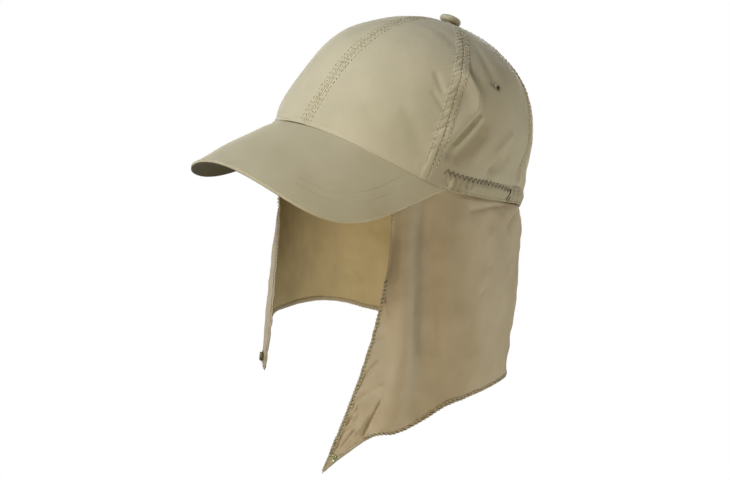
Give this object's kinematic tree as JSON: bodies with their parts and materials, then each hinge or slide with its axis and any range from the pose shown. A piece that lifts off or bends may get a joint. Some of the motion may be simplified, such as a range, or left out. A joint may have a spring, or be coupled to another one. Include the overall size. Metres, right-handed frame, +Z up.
{
  "type": "cape hat",
  "caption": "Cloth cap with a curved peak, a covered top button and a long cape that hangs from the rim round the back, with pointed front corners that carry press studs.",
  "frame": {"origin": "middle of the head opening at the rim, where the hat sits on a head", "axes": "+Z up as the hat is worn, -Y the way the peak points, +X the wearer's left; the crown leans back 25 degrees"},
  "size_m": [0.1926, 0.2647, 0.3107],
  "materials": {
    "crown_cloth": "fine plain weave, matt",
    "peak_cloth": "fine plain weave over a stiff board, matt",
    "band_cloth": "fine plain weave, gathered, matt",
    "button_cloth": "cloth drawn over a domed button",
    "cape_cloth": "thin plain weave, soft, matt",
    "eyelet_thread": "sewn thread",
    "snap_metal": "aged brass, olive tarnish"
  },
  "bodies": {
    "root": {"crown_front_left": "crown_cloth", "crown_side_left": "crown_cloth", "crown_back_left": "crown_cloth", "crown_back_right": "crown_cloth", "crown_side_right": "crown_cloth", "crown_front_right": "crown_cloth", "top_button": "button_cloth", "peak": "peak_cloth", "side_band": "band_cloth", "eyelet_left": "eyelet_thread", "eyelet_right": "eyelet_thread", "cape": "cape_cloth", "snap_cap_left": "snap_metal", "snap_stud_left": "snap_metal", "snap_cap_right": "snap_metal", "snap_socket_right": "snap_metal"}
  },
  "joints": []
}
